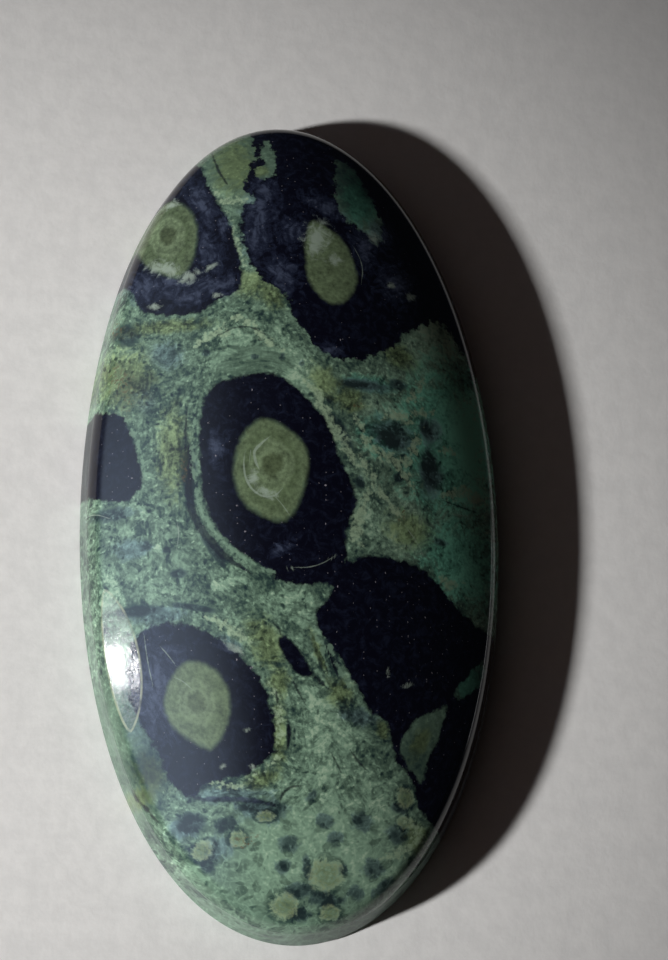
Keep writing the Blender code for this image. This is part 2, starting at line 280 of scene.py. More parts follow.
# Lumpy pale chains, like strings of beads: half width and route
CORAL_LINES = (
    (0.24, ((2.8, 4.2), (3.0, 3.7), (3.3, 3.0), (3.6, 2.5), (4.1, 2.2), (4.7, 2.0), (5.2, 1.5),
        (5.5, 0.9), (5.9, 0.3))),
    (0.20, ((6.4, 4.0), (6.1, 3.4), (5.9, 2.7), (5.6, 2.2), (5.4, 1.6), (5.2, 1.1))),
    (0.18, ((6.4, 7.0), (6.4, 6.4), (6.1, 5.8), (5.7, 5.5))),
    (0.18, ((5.9, 4.9), (6.5, 4.9), (7.1, 5.1))),
    (0.22, ((4.3, 4.2), (4.9, 4.5), (5.5, 4.4), (5.9, 4.2))),
    (0.30, ((0.2, 6.0), (0.8, 5.2), (1.0, 4.6), (1.3, 3.8), (1.9, 2.9), (2.5, 2.1), (2.7, 1.4))),
    (0.16, ((2.7, 2.2), (3.2, 1.4), (3.7, 0.6), (4.1, 0.0), (4.6, -0.7), (5.3, -1.2))),
    (0.30, ((3.4, 0.2), (3.1, -0.7), (2.8, -1.6), (2.6, -2.4), (3.0, -3.0))),
    (0.26, ((7.2, 0.5), (7.9, 0.5), (8.6, 0.9), (9.2, 0.7), (9.8, 0.5))),
    (0.20, ((7.4, 2.9), (7.8, 2.95), (8.3, 2.8))),
    (0.22, ((7.0, -4.0), (7.6, -4.4), (8.4, -4.2))),
    (0.20, ((-4.9, -6.9), (-4.2, -7.2), (-3.7, -7.6), (-3.2, -7.9), (-2.8, -8.3))),
    (0.11, ((-1.9, -10.2), (-1.5, -11.1), (-1.35, -12.2), (-1.3, -13.2), (-1.5, -14.0), (-2.0, -14.6))),
    (0.07, ((-2.6, -14.9), (-3.4, -15.4), (-4.4, -15.3), (-4.9, -15.0))),
    (0.20, ((3.9, -18.7), (4.6, -18.45), (5.3, -18.1), (5.8, -17.5), (5.6, -17.0), (5.0, -16.75))),
    (0.16, ((-3.9, 9.3), (-3.3, 9.6), (-2.8, 9.4), (-2.3, 8.8), (-1.6, 8.1), (-0.9, 7.6))),
    (0.20, ((-5.4, 8.0), (-4.4, 8.7), (-3.6, 8.5))),
    (0.16, ((-4.3, 17.6), (-3.9, 16.9), (-3.2, 16.8), (-2.6, 16.9))),
    (0.12, ((-3.7, 16.0), (-3.5, 15.0), (-3.2, 13.8), (-2.8, 12.8))),
)
# Dark lines and tails in the green: half width and route
DARK_LINES = (
    (0.05, ((-4.35, 20.6), (-4.2, 19.6), (-3.95, 18.7), (-3.6, 17.9))),
    (0.20, ((-5.65, 2.6), (-5.75, 1.0), (-5.75, -0.6), (-5.5, -1.6), (-5.0, -2.5), (-4.3, -3.4),
        (-3.5, -4.1), (-2.8, -4.6))),
    (0.05, ((-5.85, 4.6), (-5.95, 3.2), (-5.95, 1.8))),
    (0.05, ((-1.65, -7.2), (-1.35, -7.55), (-1.25, -8.0))),
    (0.05, ((0.3, -9.8), (0.7, -10.15), (1.1, -10.55))),
    (0.05, ((-0.8, -9.95), (-0.45, -10.65), (-0.1, -11.3))),
    (0.08, ((2.3, -13.65), (2.65, -14.1), (3.05, -14.5))),
    (0.04, ((1.2, -13.7), (1.5, -14.2), (1.75, -14.7))),
    (0.08, ((1.0, -8.3), (1.3, -9.1), (1.6, -9.9))),
    (0.05, ((-4.7, -12.45), (-4.4, -12.25), (-4.15, -11.95))),
    (0.06, ((-1.5, -10.7), (-1.45, -11.2), (-1.5, -11.6))),
    (0.08, ((-0.95, -12.1), (-0.85, -12.9), (-0.95, -13.6))),
    (0.12, ((-6.2, -15.6), (-5.2, -15.95), (-4.0, -16.05), (-2.8, -16.1), (-1.8, -16.3), (-1.2, -16.6))),
    (0.06, ((-1.3, -16.4), (-1.2, -15.9), (-0.8, -15.5), (-0.2, -15.4))),
    (0.05, ((-9.3, -13.4), (-8.6, -14.8), (-7.8, -16.0), (-7.1, -16.9))),
    (0.05, ((7.4, 0.15), (8.2, 0.0), (9.3, -0.15))),
    (0.06, ((-2.1, 17.0), (-2.0, 16.9), (-1.9, 16.7))),
    (0.05, ((-4.2, 8.6), (-3.4, 9.0), (-2.6, 9.0), (-1.9, 8.6))),
)
# Hair-fine pale scratches and healed cracks: half width and route
HAIR = 0.02
HAIRLINES = (
    (HAIR, ((-7.95, -7.6), (-7.85, -8.4), (-7.7, -9.3), (-7.5, -10.2))),
    (HAIR, ((-7.2, -8.2), (-6.8, -8.7), (-6.45, -9.2))),
    (HAIR, ((-6.4, -9.9), (-6.0, -10.15), (-5.55, -10.6))),
    (HAIR, ((-1.5, -0.5), (-1.1, -1.0), (-0.7, -1.6))),
    (0.07, ((-1.7, 2.8), (-2.15, 2.4), (-2.5, 1.95), (-2.45, 1.4), (-2.25, 0.9))),
    (0.05, ((-3.0, 1.9), (-3.05, 1.2), (-2.95, 0.5), (-2.65, -0.1), (-2.1, -0.5), (-1.5, -0.45),
        (-1.1, -0.05))),
    (HAIR, ((-10.9, -0.7), (-10.3, -0.9), (-9.7, -1.2))),
    (HAIR, ((3.05, 14.2), (3.35, 13.5), (3.45, 12.8), (3.35, 12.1))),
    (HAIR, ((-6.4, -1.6), (-6.3, -2.4), (-6.4, -3.2))),
    (HAIR, ((7.9, -0.55), (8.5, -0.5), (9.0, -0.45))),
    (HAIR, ((-0.6, -4.3), (0.2, -4.25), (0.9, -4.0), (1.5, -3.6))),
    (HAIR, ((5.2, -1.5), (5.9, -2.4), (6.3, -3.2))),
)

# Single bright specks in the dark
SPECKS = (
    (4.15, -9.3), (4.2, -9.7), (5.1, -10.1), (5.4, -9.9), (5.7, -9.5), (6.25, -9.6), (6.6, -9.2),
    (5.35, -7.8), (6.45, -7.7), (7.4, -7.4), (7.4, -7.9), (6.25, -6.35), (5.5, -6.5), (5.3, -6.75),
    (6.2, -5.95), (7.2, -6.6), (3.6, -4.8), (4.15, -4.25), (5.6, -4.3), (2.5, -5.0), (1.65, -5.2),
    (2.4, -6.0), (2.5, -6.5), (3.3, -6.2), (3.25, -6.8), (4.2, -5.7), (1.6, -7.6), (-3.45, -9.1),
    (-2.7, -9.5), (-2.75, -9.55), (-6.3, -9.95), (-0.95, 4.85), (-2.6, 5.4), (-4.8, 3.6), (-4.45, 1.75),
    (1.1, 0.2), (1.15, -0.6), (1.1, -1.9), (-3.0, -2.4), (-3.4, -1.0), (2.1, 8.5), (-5.0, 12.7),
    (-6.2, 10.9), (4.9, 12.1), (-9.3, 3.0), (-9.7, 1.9), (-8.6, 0.9),
)

# Natural colours of the stone
BLACK = (0.0022, 0.0022, 0.0070)
NAVY = (0.010, 0.0135, 0.030)
# The slate clouds' colour, also used for painted reflection haze on the dark
SLATE_AND_HAZE_TINT = (0.048, 0.062, 0.105)
FROST = (0.30, 0.38, 0.33)
PIT = (0.012, 0.026, 0.029)
DEEP_GREEN = (0.032, 0.063, 0.053)
MOSS = (0.076, 0.130, 0.096)
SAGE = (0.124, 0.206, 0.152)
CELADON = (0.198, 0.325, 0.236)
BRIGHT = (0.325, 0.465, 0.340)
CORAL = (0.305, 0.425, 0.290)
CREAM = (0.265, 0.335, 0.195)
CREAM_CORE = (0.135, 0.190, 0.100)
OLIVE = (0.098, 0.140, 0.062)
RUST = (0.080, 0.058, 0.030)
BLUE_GREY = (0.072, 0.122, 0.130)
TEAL = (0.064, 0.225, 0.165)
EYE_EDGE = (0.050, 0.080, 0.052)
EYE_RIM = (0.080, 0.118, 0.062)
EYE_BAND = (0.145, 0.205, 0.120)
EYE_CORE = (0.066, 0.092, 0.048)
EYE_PLAIN = (0.106, 0.152, 0.086)
SPECK = (0.30, 0.29, 0.34)
# The flat spot's scuffed pale colour is partly painted reflection, and its rim colour is a painted
# highlight
SCUFF_AND_SHEEN = (0.34, 0.36, 0.35)
PAINTED_RIM_HIGHLIGHT = (0.42, 0.46, 0.33)
CHALK = (0.30, 0.34, 0.33)
# The ground from its darkest tone to its palest, and an eye from its middle to its edge
GROUND_TONES = ((0.02, PIT), (0.24, DEEP_GREEN), (0.42, MOSS), (0.58, SAGE), (0.78, CELADON), (1.0, BRIGHT))
EYE_TONES = (
    (0.12, EYE_CORE), (0.22, EYE_CORE), (0.36, EYE_BAND), (0.46, EYE_PLAIN), (0.54, EYE_BAND),
    (0.64, EYE_RIM), (0.92, EYE_PLAIN), (0.99, EYE_EDGE),
)
STONE_IOR = 1.54


def toward(azimuth, elevation):
    """A direction: azimuth from +X round to +Y, elevation above the floor, in degrees."""
    turn, lift = math.radians(azimuth), math.radians(elevation)
    return Vector((math.cos(turn) * math.cos(lift), math.sin(turn) * math.cos(lift), math.sin(lift)))


# The stone's shape

def bow(reach):
    """Height of a quarter circle at a reach from 0 at its foot to 1 at its top."""
    return np.sqrt(2 * reach - reach * reach)


def dome_height(inset):
    """Height of the bow on its round shoulder, at an inset from 0 at the dome's edge to 1 at its crown."""
    inset = np.clip(inset, 0, 1)
    reach = SHOULDER_START + (1 - SHOULDER_START) * np.clip(inset / SHOULDER_WIDTH, 0, 1)
    shoulder = (bow(reach) - bow(SHOULDER_START)) / (1 - bow(SHOULDER_START))
    crown = 1 - (1 - inset) ** 2
    rise = CROWN_SHARE * crown + (1 - CROWN_SHARE) * shoulder
    return GIRDLE_HEIGHT + (THICKNESS - GIRDLE_HEIGHT) * rise


def ring_sizes(inset):
    """Width and length shares of the outline for an even inset at the rim that draws in to the crown."""
    across = 1 - inset
    along = 1 - inset * WIDTH / LENGTH - (1 - WIDTH / LENGTH) * inset**LENGTHWISE_EASE
    return across, along


def outline():
    """The widest outline of the hand-cut oval, centred, as arrays of x and y."""
    turn = np.linspace(0, math.tau, SEGMENTS, endpoint=False)
    radius = np.ones(SEGMENTS)
    for waves, cosine, sine in HAND_CUT:
        radius += cosine * np.cos(waves * turn) + sine * np.sin(waves * turn)
    across, along = radius * np.cos(turn), radius * np.sin(turn)
    return [
        (values - (values.max() + values.min()) / 2) * size / np.ptp(values)
        for values, size in ((across, WIDTH), (along, LENGTH))
    ]


def sections():
    """Inset, height and finish of each ring of the mesh, from the middle of the back to the crown."""
    half = WIDTH / 2
    back_edge = BACK_BEVEL_INSET / half
    dome_edge = GIRDLE_LEAN / half
    for step in range(1, BACK_RINGS + 1):
        yield 1 - (1 - back_edge) * step / BACK_RINGS, 0.0, "back"
    for step in range(GIRDLE_RINGS):
        share = step / GIRDLE_RINGS
        height = BACK_BEVEL_HEIGHT + (GIRDLE_HEIGHT - BACK_BEVEL_HEIGHT) * share
        yield dome_edge * share, height, "girdle"
    for step in range(DOME_RINGS):
        inset = (step / DOME_RINGS) ** RING_CROWDING
        yield dome_edge + (1 - dome_edge) * inset, float(dome_height(inset)), "dome"


def press_flat_spot(mesh):
    """Splits the faces along the edge of the flat spot and presses the shoulder inside it onto its plane.

    Gives back the pieces of its edge, as pairs of ends in millimetres.
    """
    facing = toward(FLAT_SPOT_TURN, 90 - FLAT_SPOT_SLOPE)
    work = bmesh.new()
    work.from_mesh(mesh)
    everything = work.verts[:] + work.edges[:] + work.faces[:]
    cut = bmesh.ops.bisect_plane(
        work, geom=everything, plane_co=facing * FLAT_SPOT_REACH, plane_no=facing
    )["geom_cut"]
    rim = [
        [tuple(end.co.xy / MM) for end in piece.verts]
        for piece in cut if isinstance(piece, bmesh.types.BMEdge)
    ]
    for corner in work.verts:
        corner.co -= facing * max(corner.co.dot(facing) - FLAT_SPOT_REACH, 0)
    work.to_mesh(mesh)
    work.free()
    return rim


def stone_mesh():
    """The fine mesh of the stone and the rim of its flat spot."""
    xs, ys = outline()
    corners, insets, kinds = [np.zeros((1, 3))], [1.0], []
    for inset, height, kind in sections():
        across, along = ring_sizes(inset)
        corners.append(np.column_stack((xs * across, ys * along, np.full(SEGMENTS, height))))
        insets += [inset] * SEGMENTS
        kinds.append(kind)
    corners.append(np.array([[0.0, 0.0, THICKNESS]]))
    corners = np.concatenate(corners)
    last = len(corners) - 1
    crown = last - SEGMENTS
    faces, finishes = [], []
    around = [(side, (side + 1) % SEGMENTS) for side in range(SEGMENTS)]
    for side, after in around:
        faces.append((0, 1 + after, 1 + side))
        finishes.append("back")
    for ring in range(len(kinds) - 1):
        start = 1 + ring * SEGMENTS
        above = start + SEGMENTS
        for side, after in around:
            faces.append((start + side, start + after, above + after, above + side))
            finishes.append(kinds[ring])
    for side, after in around:
        faces.append((crown + side, crown + after, last))
        finishes.append("dome")
    mesh = bpy.data.meshes.new("jasper_cabochon")
    mesh.from_pydata(corners.tolist(), [], faces)
    order = ("dome", "girdle", "back")
    mesh.polygons.foreach_set("material_index", [order.index(kind) for kind in finishes])
    mesh.attributes.new("inset", "FLOAT", "POINT").data.foreach_set("value", np.array(insets + [1.0]))
    rim = press_flat_spot(mesh)
    mesh.shade_smooth()
    mesh.set_sharp_from_angle(angle=SHARP_ANGLE)
    return mesh, rim


# The markings, as distances in millimetres

def smooth_route(points, closed, steps=6):
    """A smooth curve through the points, as an array of its own points."""
    points = np.array(points, float)
    if closed:
        before, after, beyond = (np.roll(points, shift, 0) for shift in (1, -1, -2))
    else:
        padded = np.concatenate((points[:1] * 2 - points[1:2], points, points[-1:] * 2 - points[-2:-1]))
        before, points, after, beyond = padded[:-3], padded[1:-2], padded[2:-1], padded[3:]
    route = []
    for share in np.linspace(0, 1, steps, endpoint=False):
        route.append(
            0.5 * (2 * points + (after - before) * share
                   + (2 * before - 5 * points + 4 * after - beyond) * share**2
                   + (3 * points - before - 3 * after + beyond) * share**3)
        )
    route = np.stack(route, 1).reshape(-1, 2)
    return route if closed else np.concatenate((route, after[-1:]))


def segment_distance(x, y, start, end):
    """Distance from each point to a straight piece, and the share of the piece passed."""
    (ax, ay), (bx, by) = start, end
    dx, dy = bx - ax, by - ay
    share = np.clip(((x - ax) * dx + (y - ay) * dy) / (dx * dx + dy * dy + 1e-12), 0, 1)
    return np.hypot(x - ax - share * dx, y - ay - share * dy), share


def line_fields(x, y, lines):
    """The distance to the nearest line, first with a sign for its side, and its tapered half width."""
    away = np.full(len(x), FAR)
    offset, width = np.zeros(len(x)), np.zeros(len(x))
    for half_width, points in lines:
        route = smooth_route(points, False)
        for step, (start, end) in enumerate(zip(route, route[1:])):
            distance, share = segment_distance(x, y, start, end)
            side = np.sign((x - start[0]) * (end - start)[1] - (y - start[1]) * (end - start)[0])
            closer = distance < away
            travel = 2 * (step + share) / (len(route) - 1) - 1
            away[closer] = distance[closer]
            offset[closer] = (distance * side)[closer]
            width[closer] = (half_width * (1 - np.abs(travel) ** LINE_TAPER))[closer]
    return offset, away, width


def depth_inside(x, y, outline_points):
    """Distance inside a closed outline, negative outside it."""
    loop = smooth_route(outline_points, True)
    nearest = np.full(len(x), FAR)
    inside = np.zeros(len(x), bool)
    for start, end in zip(loop, np.roll(loop, -1, 0)):
        nearest = np.minimum(nearest, segment_distance(x, y, start, end)[0])
        (ax, ay), (bx, by) = start, end
        if ay != by:
            crosses = (ay > y) != (by > y)
            inside ^= crosses & (x < (bx - ax) * (y - ay) / (by - ay) + ax)
    return np.where(inside, nearest, -nearest)


def patch_strength(x, y, patches):
    """1 in the middle of the nearest patch, 0 at its edge and below 0 outside."""
    best = np.full(len(x), -1.0)
    for middle_x, middle_y, across, along, *tilt in patches:
        turn = math.radians(tilt[0]) if tilt else 0.0
        dx, dy = x - middle_x, y - middle_y
        right = (dx * math.cos(turn) + dy * math.sin(turn)) / across
        up = (dy * math.cos(turn) - dx * math.sin(turn)) / along
        best = np.maximum(best, 1 - np.hypot(right, up))
    return best


def markings(mesh, rim):
    """Every marking as a value for each corner of the mesh."""
    corners = np.zeros(3 * len(mesh.vertices))
    insets = np.zeros(len(mesh.vertices))
    mesh.vertices.foreach_get("co", corners)
    mesh.attributes["inset"].data.foreach_get("value", insets)
    corners = corners.reshape(-1, 3)
    dome_edge = GIRDLE_LEAN / (WIDTH / 2)
    depth = (dome_height((insets - dome_edge) / (1 - dome_edge)) - corners[:, 2]) / MM
    x = corners[:, 0] / MM + DRIFT[0] * depth
    y = corners[:, 1] / MM + DRIFT[1] * depth
    made = {}
    rim_away = np.min([segment_distance(*corners[:, :2].T / MM, *piece)[0] for piece in rim], 0)
    level = corners @ np.array(toward(FLAT_SPOT_TURN, 90 - FLAT_SPOT_SLOPE)) - FLAT_SPOT_REACH
    made["flat_spot"] = np.where(level > -ON_PLANE, rim_away, -rim_away)
    dark = np.full(len(x), -FAR)
    ragged = np.zeros(len(x))
    for roughness, points in DARK_SHAPES:
        inside = depth_inside(x, y, points)
        ragged = np.where(inside > dark, roughness, ragged)
        dark = np.maximum(dark, inside)
    green = np.max([depth_inside(x, y, points) for points in INCLUSIONS], 0)
    made["stream"] = -dark - ORB_TAPER * depth
    made["dark_inside"] = np.minimum(dark, -green) - ORB_TAPER * depth
    made["dark_ragged"] = ragged
    eye = np.full(len(x), -FAR)
    reach, lightness, ringing = np.ones((3, len(x)))
    for (middle_x, middle_y), light, rings, points in EYES:
        inside = depth_inside(x, y, points)
        lightness = np.where(inside > eye, light, lightness)
        ringing = np.where(inside > eye, rings, ringing)
        out = np.hypot(x - middle_x, y - middle_y)
        own_reach = out / (out + np.maximum(inside, 0) + 1e-6)
        reach = np.where(inside > eye, own_reach, reach)
        eye = np.maximum(eye, inside)
    made["eye_inside"] = eye - ORB_TAPER * depth
    made.update(eye_reach=reach, eye_light=lightness, eye_rings=ringing)
    specks = [np.hypot(x - speck_x, y - speck_y) for speck_x, speck_y in SPECKS]
    made["speck_away"] = np.min(specks, 0) + depth
    for name, lines in (
        ("pale_line", PALE_LINES), ("coral", CORAL_LINES),
        ("dark_line", DARK_LINES), ("hairline", HAIRLINES),
    ):
        offset, away, half_width = line_fields(x, y, lines)
        made.update({name + "_offset": offset, name + "_away": away + depth, name + "_width": half_width})
    for name, patches in (
        ("olive", OLIVE_PATCHES), ("rust", RUST_PATCHES), ("slate", SLATE_AND_HAZE_PATCHES), ("teal", TEAL_PATCHES),
        ("shade", SHADE_PATCHES), ("pale", PALE_PATCHES), ("frost", FROST_PATCHES), ("web", WEB_PATCHES),
        ("fibre", FIBRE_PATCHES), ("smooth", SMOOTH_PATCHES), ("spot", SPOTS),
    ):
        made[name] = patch_strength(x, y, patches)
    # The broad tone, with painted light that lifts the right shoulder
    tone = np.zeros(len(x))
    for *patch, lighter in TONE_AND_PAINTED_LIGHT_PATCHES:
        tone += lighter * np.clip(patch_strength(x, y, (patch,)) * TONE_PLATEAU, 0, 1) ** TONE_EASE
    made["tone"] = tone * np.clip(1 - depth / (GIRDLE_HEIGHT / MM), 0, 1)
    return made


# Building materials from nodes

class Recipe:
    """Adds nodes to a tree one after another. Each method gives back the socket that it makes."""

    def __init__(self, tree):
        self.tree = tree

    def node(self, kind, inputs=(), **settings):
        made = self.tree.nodes.new(kind)
        for name, value in settings.items():
            setattr(made, name, value)
        for key, value in dict(inputs).items():
            self.feed(made.inputs[key], value)
        return made

    def feed(self, socket, value):
        if isinstance(value, bpy.types.NodeSocket):
            self.tree.links.new(value, socket)
        elif isinstance(value, tuple) and len(value) == 3 and socket.type == "RGBA":
            socket.default_value = (*value, 1.0)
        else:
            socket.default_value = value

    def math(self, operation, *values):
        return self.node("ShaderNodeMath", enumerate(values), operation=operation).outputs[0]

    def times(self, first, second):
        return self.math("MULTIPLY", first, second)

    def minus(self, first, second):
        return self.math("SUBTRACT", first, second)

    def plus(self, onto, value, weight=1.0):
        return self.math("MULTIPLY_ADD", value, weight, onto)

    def spread(self, onto, noise, weight):
        """Adds a noise's swing about its middle."""
        return self.plus(onto, self.minus(noise, 0.5), weight)

    def vector(self, operation, first, second=None):
        """A sum of vectors, or a measure of them. Scaling takes a value as its second."""
        inputs = {0: first}
        if second is not None:
            inputs["Scale" if operation == "SCALE" else 1] = second
        found = self.node("ShaderNodeVectorMath", inputs, operation=operation).outputs
        return found["Value" if operation in ("LENGTH", "DISTANCE", "DOT_PRODUCT") else "Vector"]

    def field(self, name):
        return self.node("ShaderNodeAttribute", attribute_name=name).outputs["Fac"]

    def fade(self, value, start, end, low=0.0, high=1.0):
        """Goes smoothly from low to high as the value goes from start to end."""
        inputs = {"Value": value, "From Min": start, "From Max": end, "To Min": low, "To Max": high}
        return self.node("ShaderNodeMapRange", inputs, interpolation_type="SMOOTHSTEP").outputs[0]

    def noise(self, place, scale, detail=2.0, roughness=0.5, flat=True):
        """A cloudy value about 0.5. A flat one reads only the place's X and Y."""
        inputs = {"Vector": place, "Scale": scale, "Detail": detail, "Roughness": roughness}
        return self.node("ShaderNodeTexNoise", inputs, noise_dimensions="2D" if flat else "3D").outputs[0]

    def cells(self, place, scale):
        """Scattered dots: the distance to the nearest one, and its own random value."""
        inputs = {"Vector": place, "Scale": scale}
        found = self.node("ShaderNodeTexVoronoi", inputs, voronoi_dimensions="2D").outputs
        return found["Distance"], self.node("ShaderNodeSeparateColor", {0: found["Color"]}).outputs[0]

    def net(self, place, scale):
        """The distance to the nearest wall between cells."""
        inputs = {"Vector": place, "Scale": scale}
        settings = {"voronoi_dimensions": "2D", "feature": "DISTANCE_TO_EDGE"}
        return self.node("ShaderNodeTexVoronoi", inputs, **settings).outputs["Distance"]

    def blend(self, share, first, second):
        inputs = {"Factor": share, 6: first, 7: second}
        return self.node("ShaderNodeMix", inputs, data_type="RGBA").outputs[2]

    def ramp(self, value, tones):
        """The colour of a value, among tones that each have a value and a colour."""
        made = self.node("ShaderNodeValToRGB", {"Fac": value})
        stops = made.color_ramp.elements
        for stop, (position, colour) in zip(stops, (tones[0], tones[-1])):
            stop.position, stop.color = position, (*colour, 1)
        for position, colour in tones[1:-1]:
            stops.new(position).color = (*colour, 1)
        return made.outputs[0]

    def swirled(self, place, scale, amount):
        """The place moved about by a coloured noise."""
        inputs = {"Vector": place, "Scale": scale, "Detail": 1.0}
        colour = self.node("ShaderNodeTexNoise", inputs, noise_dimensions="2D").outputs["Color"]
        centred = self.vector("SUBTRACT", colour, (0.5, 0.5, 0.5))
        return self.vector("ADD", place, self.vector("SCALE", centred, amount))


def new_group(name, inputs, outputs):
    """A shader node group with its named sockets, and the sockets inside it."""
    group = bpy.data.node_groups.new(name, "ShaderNodeTree")
    for direction, sockets in (("INPUT", inputs), ("OUTPUT", outputs)):
        for label, kind in sockets:
            group.interface.new_socket(label, in_out=direction, socket_type="NodeSocket" + kind)
    entry = group.nodes.new("NodeGroupInput")
    leave = group.nodes.new("NodeGroupOutput")
    return group, entry.outputs, leave.inputs


def ground_colour(recipe, place, flow, grain):
    """The green ground between the orbs, mossy, fibrous along the flow and webbed, and how light it is."""
    drifted = recipe.swirled(place, 0.5, 1.4)
    clouds = recipe.noise(drifted, 0.65, 3.0, 0.6)
    lumps = recipe.noise(drifted, 2.0, 3.0, 0.62)
    web = recipe.fade(recipe.field("web"), -0.1, 0.4)

    def patch(name, start, end, wobble=1.2):
        return recipe.fade(recipe.spread(recipe.field(name), lumps, wobble), start, end)

    calm = recipe.fade(recipe.field("smooth"), 0.0, 0.45, 1.0, 0.35)
    tone = recipe.spread(0.45, clouds, recipe.times(calm, 0.9))
    tone = recipe.spread(tone, grain, recipe.times(recipe.plus(0.7, web, -0.3), calm))
    tone = recipe.spread(tone, flow, recipe.fade(recipe.field("fibre"), -0.3, 0.5, 0.1, 0.9))
    tone = recipe.plus(tone, recipe.times(recipe.fade(lumps, 0.40, 0.60, -0.09, 0.09), calm))
    tone = recipe.plus(tone, patch("pale", 0.05, 0.5, 1.6), 0.17)
    shade = recipe.spread(recipe.spread(recipe.field("shade"), lumps, 0.9), grain, 0.7)
    tone = recipe.plus(tone, recipe.fade(shade, -0.05, 0.6), -0.34)
    # The broad tone, which includes painted light on the right shoulder
    tone = recipe.plus(tone, recipe.field("tone"))

    # Mossy beads stand pale in the lighter clouds, and the web has soft dark cells
    bead, chance = recipe.cells(recipe.swirled(place, 2.0, 0.25), 3.4)
    bead = recipe.times(recipe.fade(bead, 0.45, 0.1), recipe.fade(chance, 0.1, 0.7, 0.2, 1.0))
    moss = recipe.fade(recipe.spread(tone, lumps, 1.0), 0.42, 0.72)
    tone = recipe.plus(tone, recipe.times(bead, moss), 0.13)
    cell, chance = recipe.cells(drifted, 1.25)
    reach = recipe.fade(chance, 0.3, 1.0, 0.1, 0.5)
    cell = recipe.fade(recipe.minus(recipe.spread(cell, lumps, 0.4), reach), 0.06, -0.1)
    tone = recipe.plus(tone, recipe.times(cell, web), -0.19)

    # The web's own pale threads pass between the spots, and each spot has a dark ring
    thread = recipe.fade(recipe.net(recipe.swirled(place, 1.1, 0.7), 1.5), 0.16, 0.02)
    thread = recipe.times(thread, recipe.fade(recipe.field("spot"), 0.0, -0.3))
    tone = recipe.plus(tone, recipe.times(thread, web), 0.09)
    spot = recipe.spread(recipe.spread(recipe.field("spot"), lumps, 1.1), grain, 0.25)
    ring = recipe.fade(recipe.math("ABSOLUTE", recipe.plus(spot, 0.26)), 0.34, 0.06)
    tone = recipe.plus(tone, ring, -0.22)

    # Scattered dark pits and pale flecks
    pit, chance = recipe.cells(recipe.swirled(place, 1.4, 0.6), 1.9)
    pit = recipe.times(recipe.fade(pit, 0.34, 0.10), recipe.fade(chance, 0.45, 0.8))
    tone = recipe.plus(tone, recipe.times(pit, calm), -0.26)
    fleck, chance = recipe.cells(recipe.swirled(place, 1.8, 0.4), 3.0)
    fleck = recipe.times(recipe.fade(fleck, 0.30, 0.08), recipe.fade(chance, 0.55, 0.9))
    tone = recipe.plus(tone, recipe.times(fleck, calm), 0.28)

    # A tint turns the colour to its hue, as light as the ground is there
    colour = recipe.ramp(tone, GROUND_TONES)
    lightness = recipe.fade(tone, 0.0, 1.3, 0.2, 2.8)
    for name, hue, start, end, most in (
        ("teal", TEAL, -0.1, 0.6, 0.8), ("slate", BLUE_GREY, -0.1, 0.6, 0.8),
        ("shade", BLUE_GREY, 0.0, 0.5, 0.6), ("olive", OLIVE, -0.1, 0.7, 0.75),
    ):
        strength = recipe.times(patch(name, start, end), most)
        colour = recipe.blend(strength, colour, recipe.vector("SCALE", hue, lightness))

    disc = recipe.blend(recipe.fade(spot, 0.1, 0.55), CREAM, CREAM_CORE)
    disc_share = recipe.times(recipe.fade(spot, -0.22, 0.35), recipe.fade(grain, 0.38, 0.6, 0.35, 0.75))
    colour = recipe.blend(disc_share, colour, disc)
    rust_specks = recipe.times(patch("rust", 0.1, 0.7), recipe.fade(grain, 0.50, 0.62, 0.0, 0.8))
    return recipe.blend(rust_specks, colour, RUST), tone


def eye_colour(recipe, place, grain):
    """An eye: a rim, a pale band and a darker core, in soft rings."""
    mottle = recipe.noise(place, 1.5, 4.0, 0.6)
    rings = recipe.ramp(recipe.spread(recipe.field("eye_reach"), mottle, 0.22), EYE_TONES)
    light = recipe.spread(recipe.spread(recipe.field("eye_light"), mottle, 1.3), grain, 1.1)
    return recipe.vector("SCALE", recipe.blend(recipe.field("eye_rings"), EYE_PLAIN, rings), light)


def line_mask(recipe, name, wobble, softness):
    """Covers the lines of one kind, as wide as each one is where it passes."""
    width = recipe.field(name + "_width")
    across = recipe.math("ABSOLUTE", recipe.field(name + "_offset"))
    edge = recipe.plus(recipe.minus(width, across), wobble)
    near = recipe.fade(recipe.minus(recipe.field(name + "_away"), width), 0.25, 0.15)
    return recipe.times(recipe.fade(edge, -softness, softness), near)


